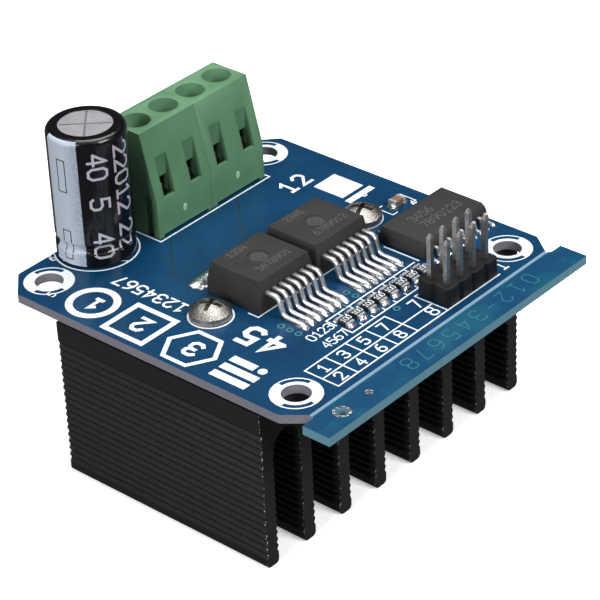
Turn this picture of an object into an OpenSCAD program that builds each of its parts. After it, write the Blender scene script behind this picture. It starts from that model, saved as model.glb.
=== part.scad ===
// DC motor driver module: a two half-bridge board on a finned heatsink.
// Pieces are placed on a board frame (X from the power terminals to the signal header,
// Y along the terminals, Z up from the board's top face) and then moved so that the origin
// lies at the middle of the outline, on the plane that the fin tips stand on.

/* [Board] */
// Length of the board from the terminal edge to the break line
board_length = 49.8; // [46:0.1:56]
// Width of the board along the terminal edge
board_width = 50; // [46:0.1:56]
// Thickness of the board
board_thickness = 1.2; // [0.8:0.1:2]
// Width of the break-off rail on the header edge
rail_width = 4.6; // [4:0.1:7]
// Leg of the corner cuts on the terminal edge
corner_cut = 3.4; // [1.5:0.1:4]
// Length along X of the corner cuts on the rail side
rail_corner_cut = 3.1; // [2.4:0.1:4]
// Bit radius of the routed slots between board and rail
slot_radius = 0.55; // [0.4:0.05:0.8]
// Depth of the routed slots, measured from the board's side edge
slot_depth = 2.2; // [1.6:0.1:3]
// Depth of the break groove on each face
groove_depth = 0.3; // [0.1:0.05:0.35]
// Diameter of the four mounting holes
mount_hole = 3.6; // [3:0.1:4.2]
// Distance between mounting holes along X
mount_pitch_x = 41.1; // [39:0.1:42]
// Distance between mounting holes along Y
mount_pitch_y = 40.8; // [39:0.1:42]
// Diameter of the tooling hole in the rail
tooling_hole = 1.6; // [1:0.1:2]
// Distance of the tooling hole from the rail's end
tooling_hole_end = 5; // [4:0.1:8]

/* [Heatsink] */
// Gap between the terminal edge of the board and the heatsink
sink_setback = 10; // [9.8:0.1:10.2]
// Gap between the heatsink and the break line
sink_header_gap = 6.2; // [5.8:0.1:6.6]
// Height of the heatsink from fin tip to top face
sink_height = 22.6; // [18:0.1:30]
// Thickness of the base above the root arches
sink_base = 4; // [3.5:0.1:6]
// Number of fins
fin_count = 8; // [5:1:9]
// Thickness of each fin over its serrations
fin_thickness = 2.1; // [1.6:0.05:2.6]
// Pitch of the serrations down each fin
serration_pitch = 1.02; // [0.8:0.02:1.4]
// Depth of the serrations
serration_depth = 0.24; // [0.1:0.02:0.3]
// Plain band above and below the serrations
serration_margin = 1.5; // [1:0.1:3]
// Corner radius of the fin tips
tip_radius = 0.6; // [0.3:0.05:0.75]
// Thickness of the pad between board and heatsink
pad_thickness = 0.3; // [0.2:0.05:0.6]
// Distance of the pad's edge from the heatsink's edge
pad_margin = 0.6; // [0.3:0.1:2]

/* [Heatsink screws] */
// Distance of the screws from the break line
screw_inset = 23.8; // [23.4:0.1:24.4]
// Distance of the front screw from the front edge
screw_y = 11; // [10.8:0.1:11.4]
// Distance between the two screws
screw_pitch = 29; // [28.8:0.1:29.6]
// Thread diameter of the screws
screw_thread = 3; // [2.5:0.1:3]
// Length of the screws under the head
screw_length = 4.8; // [4:0.1:6]
// Diameter of the pan heads
screw_head = 5.4; // [5:0.1:6]
// Height of the pan heads
screw_head_height = 1.9; // [1.5:0.1:2.4]
// Radial clearance of the screws in the board and the pad
screw_clearance = 0.2; // [0.1:0.05:0.4]

/* [Half-bridge packages] */
// Width of the moulded bodies along Y
package_width = 10; // [9.6:0.05:10.2]
// Length of the moulded bodies along X
package_length = 8.8; // [8.4:0.05:9.2]
// Height of the moulded bodies above the board
package_height = 4.4; // [4:0.05:4.8]
// Distance of the bodies' lead side from the break line
package_inset = 18.9; // [18.6:0.1:19.2]
// Centre of the front package from the front edge
package_y = 19.75; // [19.4:0.05:20]
// Distance between the two packages' centres
package_pitch = 10.75; // [10.4:0.05:11.2]
// Diameter of the ejector mark on top
ejector_mark = 2.6; // [1.5:0.1:3.2]
// Number of leads on each package
package_leads = 7; // [5:1:7]
// Distance between neighbouring leads
lead_pitch = 1.27; // [1.2:0.01:1.3]
// Width of each power lead
lead_width = 0.65; // [0.4:0.05:0.7]
// Thickness of each power lead
lead_thickness = 0.5; // [0.4:0.02:0.6]
// Height of the lead's middle where it leaves the body
lead_height = 2.75; // [2.2:0.05:3]
// Length of the soldered foot of each lead
lead_foot = 2.5; // [1.8:0.1:2.6]
// Level length of each lead before it bends down
lead_reach = 1.35; // [1:0.05:1.5]
// Bend radius at the middle of each lead's thickness
lead_bend = 0.9; // [0.6:0.05:1]
// Length of the metal tab behind the body
tab_length = 1.3; // [0.8:0.1:1.8]
// Thickness of the metal tab
tab_thickness = 1.27; // [1:0.01:1.4]

/* [Buffer chip] */
// Length of the chip body along Y
chip_length = 12.8; // [12.4:0.05:13.2]
// Width of the chip body along X
chip_width = 7.5; // [7.2:0.05:7.8]
// Height of the chip's top above the board
chip_height = 2.45; // [2.3:0.05:2.7]
// Centre of the chip from the break line
chip_inset = 14.55; // [14.4:0.05:14.9]
// Centre of the chip from the front edge
chip_y = 43.2; // [42.9:0.05:43.3]
// Width over the chip's two rows of leads
chip_span = 10.3; // [10:0.05:10.5]
// Width of each chip lead
chip_lead_width = 0.42; // [0.35:0.01:0.5]

/* [Signal header] */
// Pitch of the pins
header_pitch = 2.54; // [2.5:0.01:2.56]
// Pins along each row
header_columns = 4; // [2:1:4]
// Outer row's distance from the break line
header_edge = 2.8; // [2:0.05:3]
// First column's distance from the front edge
header_y = 31.1; // [30.6:0.05:31.3]
// Height of the plastic base
header_base_height = 2.5; // [2.3:0.05:2.6]
// Thickness of each square pin
pin_thickness = 0.64; // [0.5:0.02:0.7]
// Height of the pin tips above the board
pin_top = 8.6; // [7:0.1:9.5]
// Length of the pins below the board
pin_tail = 1.7; // [1.2:0.1:2.5]

/* [Power terminals] */
// Pitch of the wire clamps
clamp_pitch = 5.08; // [5:0.01:5.2]
// First clamp's distance from the front edge
clamp_y = 22.95; // [22.8:0.05:23.2]
// Screw axis distance from the terminal edge
clamp_x = 3.3; // [3.1:0.05:3.4]
// Height of the housings
housing_height = 14.6; // [14:0.1:15.4]
// How far the wire face stands out past the board edge
housing_overhang = 1.4; // [0.5:0.1:1.8]
// Depth of the housings at the board
housing_depth = 10; // [9.6:0.1:10.4]
// Depth of the flat top of the housings
housing_top = 5.9; // [5.4:0.1:6.2]
// Height at which the sloped face starts
slope_start = 5.3; // [4.8:0.1:5.4]
// Width of the test window in each cell's sloped face
window_width = 1.9; // [1.6:0.1:2.4]
// Height of the test window
window_height = 2.5; // [2:0.1:2.8]
// Height of the upright recess that the window lies in
recess_height = 5.6; // [4:0.1:6]
// Height of the feet under the housings
housing_feet = 0.35; // [0.2:0.05:0.5]
// Diameter of the driver holes in the top
driver_hole = 3.9; // [3.7:0.05:4]
// Thread diameter of the clamp screws
clamp_thread = 2.9; // [2.5:0.1:3]
// Radial running clearance of the clamp screws in their cages
clamp_clearance = 0.05; // [0.02:0.01:0.1]
// Travel of the clamp cages
clamp_travel = 2.5; // [1:0.1:2.5]

/* [Capacitor] */
// Diameter over the sleeve
cap_diameter = 10.3; // [9:0.1:10.4]
// Height of the capacitor's top above the board
cap_height = 18.3; // [12:0.1:25]
// Axis distance from the terminal edge
cap_x = 3.65; // [3.6:0.05:3.7]
// Axis distance from the front edge
cap_y = 13.9; // [13.6:0.1:14.2]
// Thickness of the shrunk sleeve
sleeve_thickness = 0.1; // [0.08:0.01:0.2]
// Diameter of the bare disc on top
vent_disc = 7; // [6:0.1:8]
// Distance between the two leads
cap_lead_pitch = 5; // [3.5:0.1:5]
// Diameter of the leads
cap_lead = 0.6; // [0.5:0.05:0.8]

/* [Chips] */
// Number of chip resistors in the row
resistor_count = 8; // [4:1:8]
// Pitch of the resistor row
resistor_pitch = 2.13; // [2:0.01:2.2]
// First resistor's distance from the front edge
resistor_y = 19.65; // [19.4:0.05:19.8]
// Middle of the row from the break line
resistor_inset = 9.55; // [9.4:0.05:9.7]
// Length of a chip
smd_length = 2; // [1.8:0.05:2.1]
// Width of a chip
smd_width = 1.25; // [1.1:0.05:1.4]
// Height of a chip resistor
resistor_height = 0.55; // [0.4:0.05:0.7]
// Height of the chip capacitor
chip_cap_height = 0.95; // [0.8:0.05:1.3]
// Chip capacitor's distance from the break line
chip_cap_inset = 22.5; // [22.3:0.1:22.7]
// Chip capacitor's distance from the back edge
chip_cap_edge = 4.4; // [4:0.1:4.6]

/* [Hidden] */
$fn = 48;
eps = 0.01;
// Fine gap between parts that are pressed or shrunk together
seat_gap = 0.01;

fin_pitch = (board_width - fin_thickness) / (fin_count - 1);
fin_gap = fin_pitch - fin_thickness;
sink_top = -board_thickness - pad_thickness;
sink_bottom = sink_top - sink_height;
fin_height = sink_height - sink_base;
sink_length = board_length - sink_setback - sink_header_gap;

mount_x = (board_length - mount_pitch_x) / 2;
mount_y = (board_width - mount_pitch_y) / 2;
screw_places = [for (i = [0, 1]) [board_length - screw_inset, screw_y + i * screw_pitch]];
screw_hole = screw_thread + 2 * screw_clearance;
tap_depth = screw_length - board_thickness - pad_thickness + 0.3;

housing_x0 = -housing_overhang;
housing_x1 = housing_x0 + housing_depth;
block_length = 2 * clamp_pitch;
housing_y0 = clamp_y - clamp_pitch / 2;

package_x = board_length - package_inset - package_length;
chip_x = board_length - chip_inset;
resistor_x = board_length - resistor_inset;

tab_width = package_width - 1;
tab_root = package_length * 0.6;

// Clamp parts, heights above the board
cage_wall = 0.5;
cage_width = 3.9;
cage_length = 3.6;
cage_bottom = 1.4;
cage_floor = 0.6;
cage_roof = 1.4;
tongue_thickness = 0.8;
tongue_width = cage_width - 2 * cage_wall - 0.3;
wire_gap = clamp_travel + 0.5;
tongue_z = cage_bottom + cage_floor + wire_gap;
cage_roof_z = tongue_z + tongue_thickness + 0.4;
cage_top = cage_roof_z + cage_roof;
cavity_top = cage_top + clamp_travel + 0.3;
cavity_width = cage_width + 0.3;
cavity_x0 = housing_x0 + 1.2;
leg_thickness = 0.6;
leg_x = clamp_x + cage_length / 2 + 0.4;
cavity_x1 = leg_x + leg_thickness + 0.2;
contact_tail = 2.6;
contact_pin = 1;
clamp_head = driver_hole - 0.3;
clamp_head_height = 1.5;
// Web in the housing that the screw's head sits on
head_web = 0.6;

cap_radius = cap_diameter / 2;
can_radius = cap_radius - sleeve_thickness - seat_gap;
cap_standoff = 0.4;
can_wall = 0.3;
bung_height = 3.4;
bung_radius = can_radius - 0.7;
winding_height = cap_height - cap_standoff - 2 * sleeve_thickness - bung_height - 0.5;
cap_lead_tail = 1.6;
lead_hole_gap = 0.15;

header_x = board_length - header_edge;
header_width = 2 * header_pitch;

// Overall outline, from the pieces that can reach furthest
outline_x0 = min(0, housing_x0, cap_x - cap_radius);
outline_x1 = board_length + rail_width;
outline_mid_x = (outline_x0 + outline_x1) / 2;
outline_mid_y = board_width / 2;

// Moves pieces from the board frame to the frame of the whole part
module on_board() {
    translate([-outline_mid_x, -outline_mid_y, -sink_bottom]) children();
}

// Extrudes a profile drawn in X and Z along Y, centred on y
module along_y(y, width) {
    translate([0, y + width / 2, 0]) rotate([90, 0, 0]) linear_extrude(width) children();
}

// Extrudes a profile drawn in Y and Z along X, starting at x
module along_x(x, length) {
    translate([x, 0, 0]) rotate([90, 0, 90]) linear_extrude(length) children();
}

// Points of an arc about [x, y], both ends included
function arc(x, y, r, from, to, steps = 5) =
    [for (i = [0:steps]) let (a = from + (to - from) * i / steps) [x + r * cos(a), y + r * sin(a)]];

// Where the corner cut on the rail side meets the round end of the routed slot
function slot_tangent() =
    let (dx = rail_corner_cut, dy = slot_depth - slot_radius, d = norm([dx, dy]),
         a = atan2(dy, dx) + asin(slot_radius / d), l = sqrt(d * d - slot_radius * slot_radius))
    [board_length - dx + l * cos(a), l * sin(a)];

// Routed slot that frees the rail's end from the board, at the front edge
module rail_slot() {
    centre = [board_length, slot_depth - slot_radius];
    polygon([[board_length - rail_corner_cut, -1], [board_length - rail_corner_cut, 0], slot_tangent(),
             centre, [board_length + slot_radius, centre[1]], [board_length + slot_radius, -1]]);
    translate(centre) circle(slot_radius);
}

module board_outline() {
    difference() {
        square([board_length + rail_width, board_width]);
        for (side = [0, 1]) translate([0, side * board_width]) mirror([0, side]) {
            polygon([[-1, -1], [corner_cut, -1], [corner_cut, 0], [0, corner_cut], [-1, corner_cut]]);
            rail_slot();
        }
    }
}

module break_groove(z, up) {
    along_y(board_width / 2, board_width + 2)
        translate([board_length, z]) mirror([0, up]) polygon([
            [-groove_depth * 0.6, eps], [groove_depth * 0.6, eps], [0, -groove_depth]]);
}

module circuit_board() {
    color([0.08, 0.32, 0.52]) on_board() difference() {
        translate([0, 0, -board_thickness]) linear_extrude(board_thickness) difference() {
            board_outline();
            for (x = [0, 1], y = [0, 1])
                translate([mount_x + x * mount_pitch_x, mount_y + y * mount_pitch_y]) circle(d = mount_hole);
            for (p = screw_places) translate(p) circle(d = screw_hole);
            translate([board_length + rail_width / 2, tooling_hole_end]) circle(d = tooling_hole);
            for (p = cap_lead_places()) translate(p) circle(d = cap_lead + 2 * lead_hole_gap);
            for (p = header_places()) translate(p) circle(d = pin_thickness * sqrt(2) + 2 * lead_hole_gap);
            for (i = [0:3]) translate([leg_x + leg_thickness / 2, clamp_y + i * clamp_pitch])
                circle(d = norm([contact_pin, leg_thickness]) + 2 * lead_hole_gap);
        }
        break_groove(0, 0);
        break_groove(-board_thickness, 1);
    }
}

module thermal_pad() {
    color([0.8, 0.8, 0.78]) on_board() translate([0, 0, sink_top]) linear_extrude(pad_thickness) difference() {
        translate([sink_setback + pad_margin, pad_margin])
            square([sink_length - 2 * pad_margin, board_width - 2 * pad_margin]);
        for (p = screw_places) translate(p) circle(d = screw_hole);
    }
}

// Zigzag of a fin's face from low to high, as [depth into the fin, height]
function serrations(low, high) =
    let (rows = floor((high - low) / serration_pitch))
    [for (i = [0:2 * rows]) [i % 2 * serration_depth, low + i * serration_pitch / 2]];

function reversed(list) = [for (i = [len(list) - 1:-1:0]) list[i]];

// Whole profile as one outline: down each fin's left face, round its tip and up its right face
module sink_profile() {
    crown = fin_height - fin_gap / 2;
    inner = serrations(serration_margin, crown - 0.1);
    outer = serrations(serration_margin, sink_height - 1.6 * serration_margin);
    polygon([for (i = [0:fin_count - 1])
        let (x0 = i * fin_pitch, x1 = x0 + fin_thickness, first = i == 0, last = i == fin_count - 1)
        each concat(
            first ? [[0, sink_height]] : arc(x0 - fin_gap / 2, crown, fin_gap / 2, 180, 0, 24),
            [for (q = reversed(first ? outer : inner)) [x0 + q[0], q[1]]],
            arc(x0 + tip_radius, tip_radius, tip_radius, 180, 270, 4),
            arc(x1 - tip_radius, tip_radius, tip_radius, 270, 360, 4),
            [for (q = last ? outer : inner) [x1 - q[0], q[1]]],
            last ? [[board_width, sink_height]] : [])]);
}

module heatsink() {
    color([0.12, 0.12, 0.13]) on_board() difference() {
        translate([0, 0, sink_bottom]) along_x(sink_setback, sink_length) sink_profile();
        for (p = screw_places)
            translate([p[0], p[1], sink_top - tap_depth]) cylinder(d = screw_thread + 2 * seat_gap, h = tap_depth + eps);
    }
}

// Pan head with a domed top and a cross recess
module pan_head_screw() {
    rim = screw_head_height * 0.45;
    dome = (pow(screw_head / 2, 2) + pow(screw_head_height - rim, 2)) / (2 * (screw_head_height - rim));
    difference() {
        union() {
            intersection() {
                cylinder(d = screw_head, h = screw_head_height);
                translate([0, 0, screw_head_height - dome]) sphere(dome, $fn = 96);
            }
            translate([0, 0, -screw_length]) cylinder(d = screw_thread, h = screw_length);
        }
        for (a = [0, 90]) rotate(a + 20) translate([-screw_head * 0.28, -0.3, screw_head_height - 1.1])
            cube([screw_head * 0.56, 0.6, 2]);
    }
}

module heatsink_screws() {
    color([0.78, 0.78, 0.76]) on_board() for (p = screw_places) translate([p[0], p[1], 0]) pan_head_screw();
}

// Block with drafted walls, the draft given in mm at the top of each side
module drafted_block(x, y, z, length, width, height, draft) {
    waist = height * 0.45;
    intersection() {
        along_y(y, width + 2) polygon([[x, z], [x, z + waist], [x + draft, z + height],
            [x + length - draft, z + height], [x + length, z + waist], [x + length, z]]);
        along_x(x - 1, length + 2) polygon([[y - width / 2, z], [y - width / 2, z + waist],
            [y - width / 2 + draft, z + height], [y + width / 2 - draft, z + height],
            [y + width / 2, z + waist], [y + width / 2, z]]);
    }
}

// Lead that leaves a body level, steps down and ends in a flat foot at z = 0
module gull_lead(x, y, out, height, foot, width, thickness, slope, bend) {
    t = thickness / 2;
    drop = height - t;
    run = (drop - 2 * bend * (1 - cos(slope))) / sin(slope);
    x1 = x + out;
    x2 = x1 + 2 * bend * sin(slope) + run * cos(slope);
    top = concat([[x, height + t]], arc(x1, height - bend, bend + t, 90, 90 - slope),
                 arc(x2, t + bend, bend - t, 270 - slope, 270), [[x2 + foot, 2 * t]]);
    under = concat([[x2 + foot, 0]], arc(x2, t + bend, bend + t, 270, 270 - slope),
                   arc(x1, height - bend, bend - t, 90 - slope, 90), [[x, height - t]]);
    along_y(y, width) polygon(concat(top, under));
}

module half_bridge_body(y) {
    color([0.2, 0.2, 0.2]) on_board() difference() {
        drafted_block(package_x, y, 0, package_length, package_width, package_height, 0.4);
        // Room for the tab's root and the round ejector mark
        translate([package_x - 1, y - tab_width / 2 - seat_gap, -1])
            cube([1 + tab_root + seat_gap, tab_width + 2 * seat_gap, 1 + tab_thickness + seat_gap]);
        translate([package_x + package_length * 0.46, y, package_height - 0.12]) cylinder(d = ejector_mark, h = 1);
    }
}

module half_bridge_leads(y) {
    x0 = package_x + package_length;
    color([0.75, 0.75, 0.74]) on_board() {
        translate([package_x - tab_length, y - tab_width / 2, 0])
            cube([tab_length + tab_root, tab_width, tab_thickness]);
        for (i = [0:package_leads - 1])
            gull_lead(x0, y + (i - (package_leads - 1) / 2) * lead_pitch, lead_reach, lead_height, lead_foot,
                      lead_width, lead_thickness, 76, lead_bend);
    }
}

// Chip body with a bevelled long edge on the header side
module buffer_chip_body() {
    standoff = 0.12;
    height = chip_height - standoff;
    color([0.22, 0.21, 0.2]) on_board() intersection() {
        drafted_block(chip_x - chip_width / 2, chip_y, standoff, chip_width, chip_length, height, 0.25);
        along_y(chip_y, chip_length + 2) translate([chip_x, 0]) polygon([
            [-chip_width, 0], [-chip_width, chip_height + 1], [chip_width / 2 - 0.9, chip_height + 0.25],
            [chip_width / 2 + 0.1, chip_height - 0.75], [chip_width, 0]]);
    }
}

module buffer_chip_leads() {
    rows = 10;
    color([0.76, 0.76, 0.75]) on_board() for (side = [0, 1], i = [0:rows - 1])
        translate([chip_x, chip_y + (i - (rows - 1) / 2) * lead_pitch, 0]) mirror([side, 0, 0])
            chip_lead(chip_span / 2);
}

// Starts at the body wall and ends at the stated reach
module chip_lead(reach) {
    foot = 0.6;
    slope = 80;
    bend = 0.2;
    height = 1.15;
    thickness = 0.24;
    run = (height - thickness / 2 - 2 * bend * (1 - cos(slope))) / sin(slope);
    start = chip_width / 2;
    out = reach - foot - 2 * bend * sin(slope) - run * cos(slope) - start;
    gull_lead(start, 0, out, height, foot, chip_lead_width, thickness, slope, bend);
}

// Plastic strip with a clipped corner on every pin's cell
module header_base() {
    clip = 0.45;
    p = header_pitch;
    color([0.1, 0.1, 0.1]) on_board() difference() {
        linear_extrude(header_base_height) for (i = [0:header_columns - 1], k = [0, 1])
            translate([header_x - k * p, header_y + i * p])
                polygon([[-p / 2, -p / 2 + clip], [-p / 2 + clip, -p / 2], [p / 2 - clip, -p / 2],
                         [p / 2, -p / 2 + clip], [p / 2, p / 2 - clip], [p / 2 - clip, p / 2],
                         [-p / 2 + clip, p / 2], [-p / 2, p / 2 - clip]]);
        for (q = header_places()) translate([q[0], q[1], header_base_height / 2])
            cube([pin_thickness + 2 * seat_gap, pin_thickness + 2 * seat_gap, header_base_height + 1], center = true);
    }
}

function header_places() =
    [for (k = [0, 1], i = [0:header_columns - 1]) [header_x - k * header_pitch, header_y + i * header_pitch]];

// Square pin with a pointed tip at each end
module header_pin(i) {
    q = header_places()[i - 1];
    half = pin_thickness / 2;
    low = -board_thickness - pin_tail;
    point = 0.5;
    nose = 0.14;
    profile = [[-nose, low], [-half, low + point], [-half, pin_top - point], [-nose, pin_top],
               [nose, pin_top], [half, pin_top - point], [half, low + point], [nose, low]];
    color([0.8, 0.78, 0.72]) on_board() translate([q[0], q[1], 0]) intersection() {
        along_y(0, pin_thickness + 1) polygon(profile);
        along_x(-pin_thickness, 2 * pin_thickness) polygon(profile);
    }
}

function cap_lead_places() = [for (s = [-1, 1]) [cap_x, cap_y + s * cap_lead_pitch / 2]];

// Half outline of the can or its sleeve; the groove near the foot grips the bung
module can_profile(r, low, high, bead) {
    difference() {
        union() {
            translate([0, low]) square([r, high - low - bead]);
            translate([0, low]) square([r - bead, high - low]);
            translate([r - bead, high - bead]) circle(bead);
        }
        translate([r + 0.55, cap_standoff + 2.4]) circle(0.9);
        translate([-2, low - 1]) square([2, high + 2]);
    }
}

module capacitor_can() {
    low = cap_standoff + sleeve_thickness;
    color([0.8, 0.8, 0.82]) on_board() translate([cap_x, cap_y, 0]) difference() {
        rotate_extrude() can_profile(can_radius, low, cap_height - sleeve_thickness - seat_gap, 0.7);
        translate([0, 0, low - 1]) cylinder(r = bung_radius + seat_gap, h = bung_height + 1 + eps);
        translate([0, 0, low + bung_height]) cylinder(r = can_radius - can_wall, h = winding_height);
        // Scored cross of the pressure vent
        for (a = [0, 90]) rotate(a + vent_turn) translate([-vent_disc * 0.47, -0.14, cap_height - sleeve_thickness - 0.2])
            cube([vent_disc * 0.94, 0.28, 1]);
    }
}

vent_turn = 42;

module capacitor_sleeve() {
    color([0.13, 0.13, 0.15]) on_board() translate([cap_x, cap_y, 0]) rotate_extrude() difference() {
        can_profile(cap_radius, cap_standoff, cap_height, 0.8);
        can_profile(can_radius + seat_gap, cap_standoff + sleeve_thickness, cap_height - sleeve_thickness, 0.7);
        translate([0, cap_height - 1]) square([vent_disc / 2, 2]);
        translate([0, -1]) square([bung_radius + seat_gap, 3]);
    }
}

module capacitor_bung() {
    color([0.15, 0.14, 0.14]) on_board() translate([cap_x, cap_y, cap_standoff])
        cylinder(r = bung_radius, h = sleeve_thickness + bung_height - seat_gap);
}

module capacitor_winding() {
    color([0.7, 0.68, 0.6]) on_board()
        translate([cap_x, cap_y, cap_standoff + sleeve_thickness + bung_height + seat_gap])
            cylinder(r = can_radius - can_wall - seat_gap, h = winding_height - 2 * seat_gap);
}

module capacitor_leads() {
    color([0.8, 0.8, 0.8]) on_board() for (p = cap_lead_places())
        translate([p[0], p[1], -board_thickness - cap_lead_tail])
            cylinder(d = cap_lead, h = board_thickness + cap_lead_tail + cap_standoff);
}

// Outline of the terminal housing seen along Y
module housing_profile() {
    x0 = housing_x0;
    top_x0 = clamp_x - housing_top / 2;
    polygon([[x0, 0], [housing_x1, 0], [housing_x1 - 0.1, slope_start],
             [top_x0 + housing_top, housing_height], [top_x0, housing_height], [x0, housing_height - 4.4]]);
}

// Two-way block; the dovetail on one end locks into the groove of the next block
module terminal_housing(first) {
    y0 = housing_y0 + first * clamp_pitch;
    rib_x = cavity_x1 + 0.8;
    foot = 0.9;
    rib_top = slope_start + 0.3;
    color([0.35, 0.6, 0.4]) on_board() difference() {
        union() {
            along_y(y0 + block_length / 2, block_length) housing_profile();
            translate([rib_x, y0 + block_length, 0]) dovetail(0.9, 1.2, 0.5, rib_top);
        }
        translate([rib_x, y0, -eps]) dovetail(1.1, 1.4, 0.6, rib_top + 0.1);
        translate([cavity_x0, y0 + foot, -eps]) cube([housing_depth, block_length - 2 * foot, housing_feet + eps]);
        for (i = [0, 1]) translate([0, y0 + (i + 0.5) * clamp_pitch, 0]) clamp_cell();
    }
}

// Upright rib whose far side is wider than its root
module dovetail(root, far, depth, height) {
    linear_extrude(height) polygon([[-root / 2, -eps], [root / 2, -eps], [far / 2, depth], [-far / 2, depth]]);
}

// Everything that is cut out of the housing for one clamp, centred on y = 0
module clamp_cell() {
    // Chamber, wire entry and driver hole
    translate([cavity_x0, -cavity_width / 2, cage_bottom - 0.2])
        cube([cavity_x1 - cavity_x0, cavity_width, cavity_top - cage_bottom + 0.2]);
    translate([housing_x0 - 1, -1.9, cage_bottom + 0.2]) cube([cavity_x0 - housing_x0 + 1 + eps, 3.8, wire_gap + 1.2]);
    translate([clamp_x, 0, cavity_top - eps]) cylinder(d = clamp_thread + 0.4, h = head_web + 2 * eps);
    translate([clamp_x, 0, cavity_top + head_web]) cylinder(d = driver_hole, h = housing_height);
    // Slot for the contact's leg through the floor
    translate([leg_x - 0.05, -tongue_width / 2 - 0.05, -eps]) cube([leg_thickness + 0.1, tongue_width + 0.1, cage_bottom]);
    // Test window in an upright recess; behind it and behind the lip below it the wall is thin
    recess_x = housing_x1 - 1.5;
    skin = 0.5;
    lip = 0.7;
    along_y(0, window_width + 1.1) polygon([
        [cavity_x1 - eps, slope_start - 2.1], [housing_x1 - lip, slope_start - 2.1], [housing_x1 - lip, slope_start],
        [recess_x - skin, slope_start], [recess_x - skin, slope_start + window_height + 0.3],
        [cavity_x1 - eps, slope_start + window_height + 0.3]]);
    translate([recess_x - skin - eps, -window_width / 2, slope_start - eps])
        cube([housing_depth, window_width, window_height + eps]);
    translate([recess_x, -window_width / 2 - 0.1, slope_start - eps])
        cube([housing_depth, window_width + 0.2, recess_height + eps]);
}

module terminal_contact(i) {
    color([0.8, 0.8, 0.78]) on_board() translate([0, clamp_y + (i - 1) * clamp_pitch, 0]) {
        along_y(0, tongue_width) polygon([
            [clamp_x - cage_length / 2 - 0.4, tongue_z], [clamp_x - cage_length / 2 - 0.4, tongue_z + tongue_thickness],
            [leg_x + leg_thickness, tongue_z + tongue_thickness], [leg_x + leg_thickness, 0.3],
            [leg_x, 0.3], [leg_x, tongue_z]]);
        translate([leg_x, -contact_pin / 2, -board_thickness - contact_tail])
            cube([leg_thickness, contact_pin, board_thickness + contact_tail + 0.3 + eps]);
    }
}

// Box clamp that rises on its screw and pinches the wire against the tongue
module terminal_cage(i) {
    color([0.75, 0.72, 0.6]) on_board() translate([clamp_x, clamp_y + (i - 1) * clamp_pitch, 0]) difference() {
        translate([-cage_length / 2, -cage_width / 2, cage_bottom])
            cube([cage_length, cage_width, cage_top - cage_bottom]);
        translate([-cage_length, -cage_width / 2 + cage_wall, cage_bottom + cage_floor])
            cube([2 * cage_length, cage_width - 2 * cage_wall, cage_roof_z - cage_bottom - cage_floor]);
        translate([0, 0, cage_roof_z - 1]) cylinder(d = clamp_thread + 2 * clamp_clearance, h = cage_roof + 2);
    }
}

module terminal_screw(i) {
    tip = tongue_z + tongue_thickness + 0.05;
    head_z = cavity_top + head_web + 0.05;
    color([0.78, 0.78, 0.76]) on_board() translate([clamp_x, clamp_y + (i - 1) * clamp_pitch, 0]) difference() {
        union() {
            translate([0, 0, tip]) cylinder(d = clamp_thread, h = head_z - tip + eps);
            translate([0, 0, head_z]) cylinder(d = clamp_head, h = clamp_head_height);
        }
        translate([-clamp_head, -0.35, head_z + clamp_head_height - 0.8]) cube([2 * clamp_head, 0.7, 2]);
    }
}

// Chip lying along X with metal ends that wrap round it
module smd_chip(height, end) {
    wrap = 0.03;
    translate([-smd_length / 2, -smd_width / 2 + wrap, wrap]) cube([smd_length, smd_width - 2 * wrap, height - 2 * wrap]);
    for (s = [0, 1]) mirror([s, 0, 0])
        translate([smd_length / 2 - end, -smd_width / 2, 0]) cube([end, smd_width, height]);
}

module chip_resistor(i) {
    color([0.3, 0.3, 0.3]) on_board() translate([resistor_x, resistor_y + (i - 1) * resistor_pitch, 0])
        smd_chip(resistor_height, 0.35);
}

module chip_capacitor() {
    color([0.6, 0.45, 0.3]) on_board() translate([board_length - chip_cap_inset, board_width - chip_cap_edge, 0]) rotate(90) smd_chip(chip_cap_height, 0.45);
}

// Solder cones under the board round each lead
module solder_joints() {
    color([0.8, 0.8, 0.82]) on_board() {
        for (p = cap_lead_places()) translate([p[0], p[1], -board_thickness]) difference() {
            solder_cone(1.1, cap_lead_tail * 0.75);
            translate([0, 0, -2 * cap_lead_tail]) cylinder(d = cap_lead + 2 * seat_gap, h = 3 * cap_lead_tail);
        }
        for (p = header_places()) translate([p[0], p[1], -board_thickness]) difference() {
            solder_cone(0.72, pin_tail * 0.6);
            cube([pin_thickness + 2 * seat_gap, pin_thickness + 2 * seat_gap, 3 * pin_tail], center = true);
        }
        for (i = [0:3]) translate([leg_x + leg_thickness / 2, clamp_y + i * clamp_pitch, -board_thickness]) difference() {
            solder_cone(1.4, contact_tail * 0.7);
            cube([leg_thickness + 2 * seat_gap, contact_pin + 2 * seat_gap, 3 * contact_tail], center = true);
        }
    }
}

module solder_cone(r, height) {
    translate([0, 0, -height]) cylinder(r1 = r * 0.62, r2 = r, h = height);
}

circuit_board();
thermal_pad();
heatsink();
heatsink_screws();
solder_joints();
half_bridge_body(package_y);  // half_bridge_a_body
half_bridge_leads(package_y);  // half_bridge_a_leads
half_bridge_body(package_y + package_pitch);  // half_bridge_b_body
half_bridge_leads(package_y + package_pitch);  // half_bridge_b_leads
buffer_chip_body();
buffer_chip_leads();
header_base();
terminal_housing(0);  // terminal_housing_a
terminal_housing(2);  // terminal_housing_b
capacitor_can();
capacitor_sleeve();
capacitor_bung();
capacitor_winding();
capacitor_leads();
chip_capacitor();
for (i = [1:2 * header_columns]) header_pin(i);
for (i = [1:4]) terminal_contact(i);
for (i = [1:4]) terminal_cage(i);
for (i = [1:4]) terminal_screw(i);
for (i = [1:resistor_count]) chip_resistor(i);
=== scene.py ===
import math

import bmesh
import bpy
from mathutils import Matrix, Vector, noise


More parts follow.
